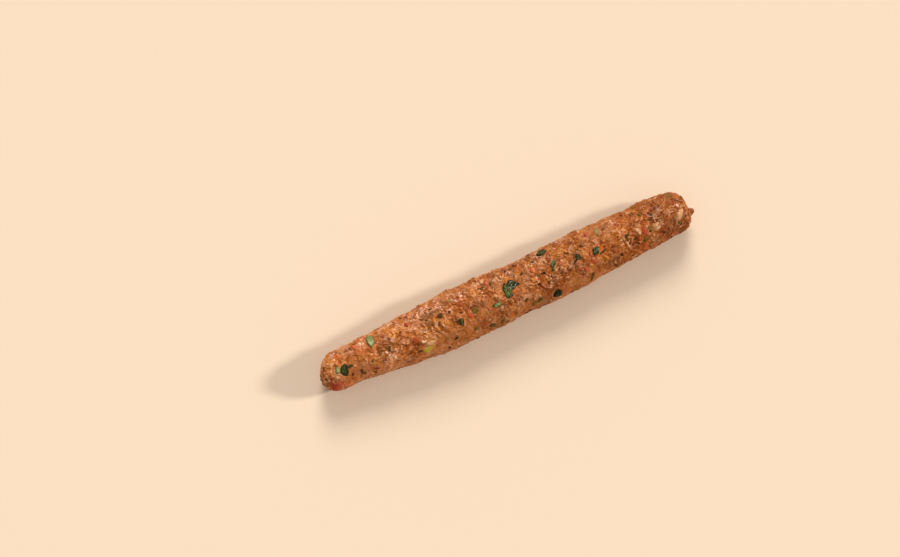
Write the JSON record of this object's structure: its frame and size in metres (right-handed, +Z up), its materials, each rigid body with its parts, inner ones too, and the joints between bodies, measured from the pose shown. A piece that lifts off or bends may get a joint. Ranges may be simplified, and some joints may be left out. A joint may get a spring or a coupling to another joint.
{
  "type": "kofta kebab",
  "caption": "Long hand-pressed roll of browned minced meat with chopped herbs, lying on its flat underside.",
  "frame": {"origin": "middle of the flat underside, under the middle of the bounding box", "axes": "+X along the roll towards its blunt, torn end, +Z up, +Y across the roll"},
  "size_m": [0.2258, 0.0322, 0.0247],
  "materials": {
    "cooked_meat": "satin",
    "parsley": "satin",
    "red_pepper": "gloss",
    "onion": "satin",
    "green_pepper": "satin"
  },
  "bodies": {
    "root": {"kofta": "cooked_meat"}
  },
  "joints": []
}
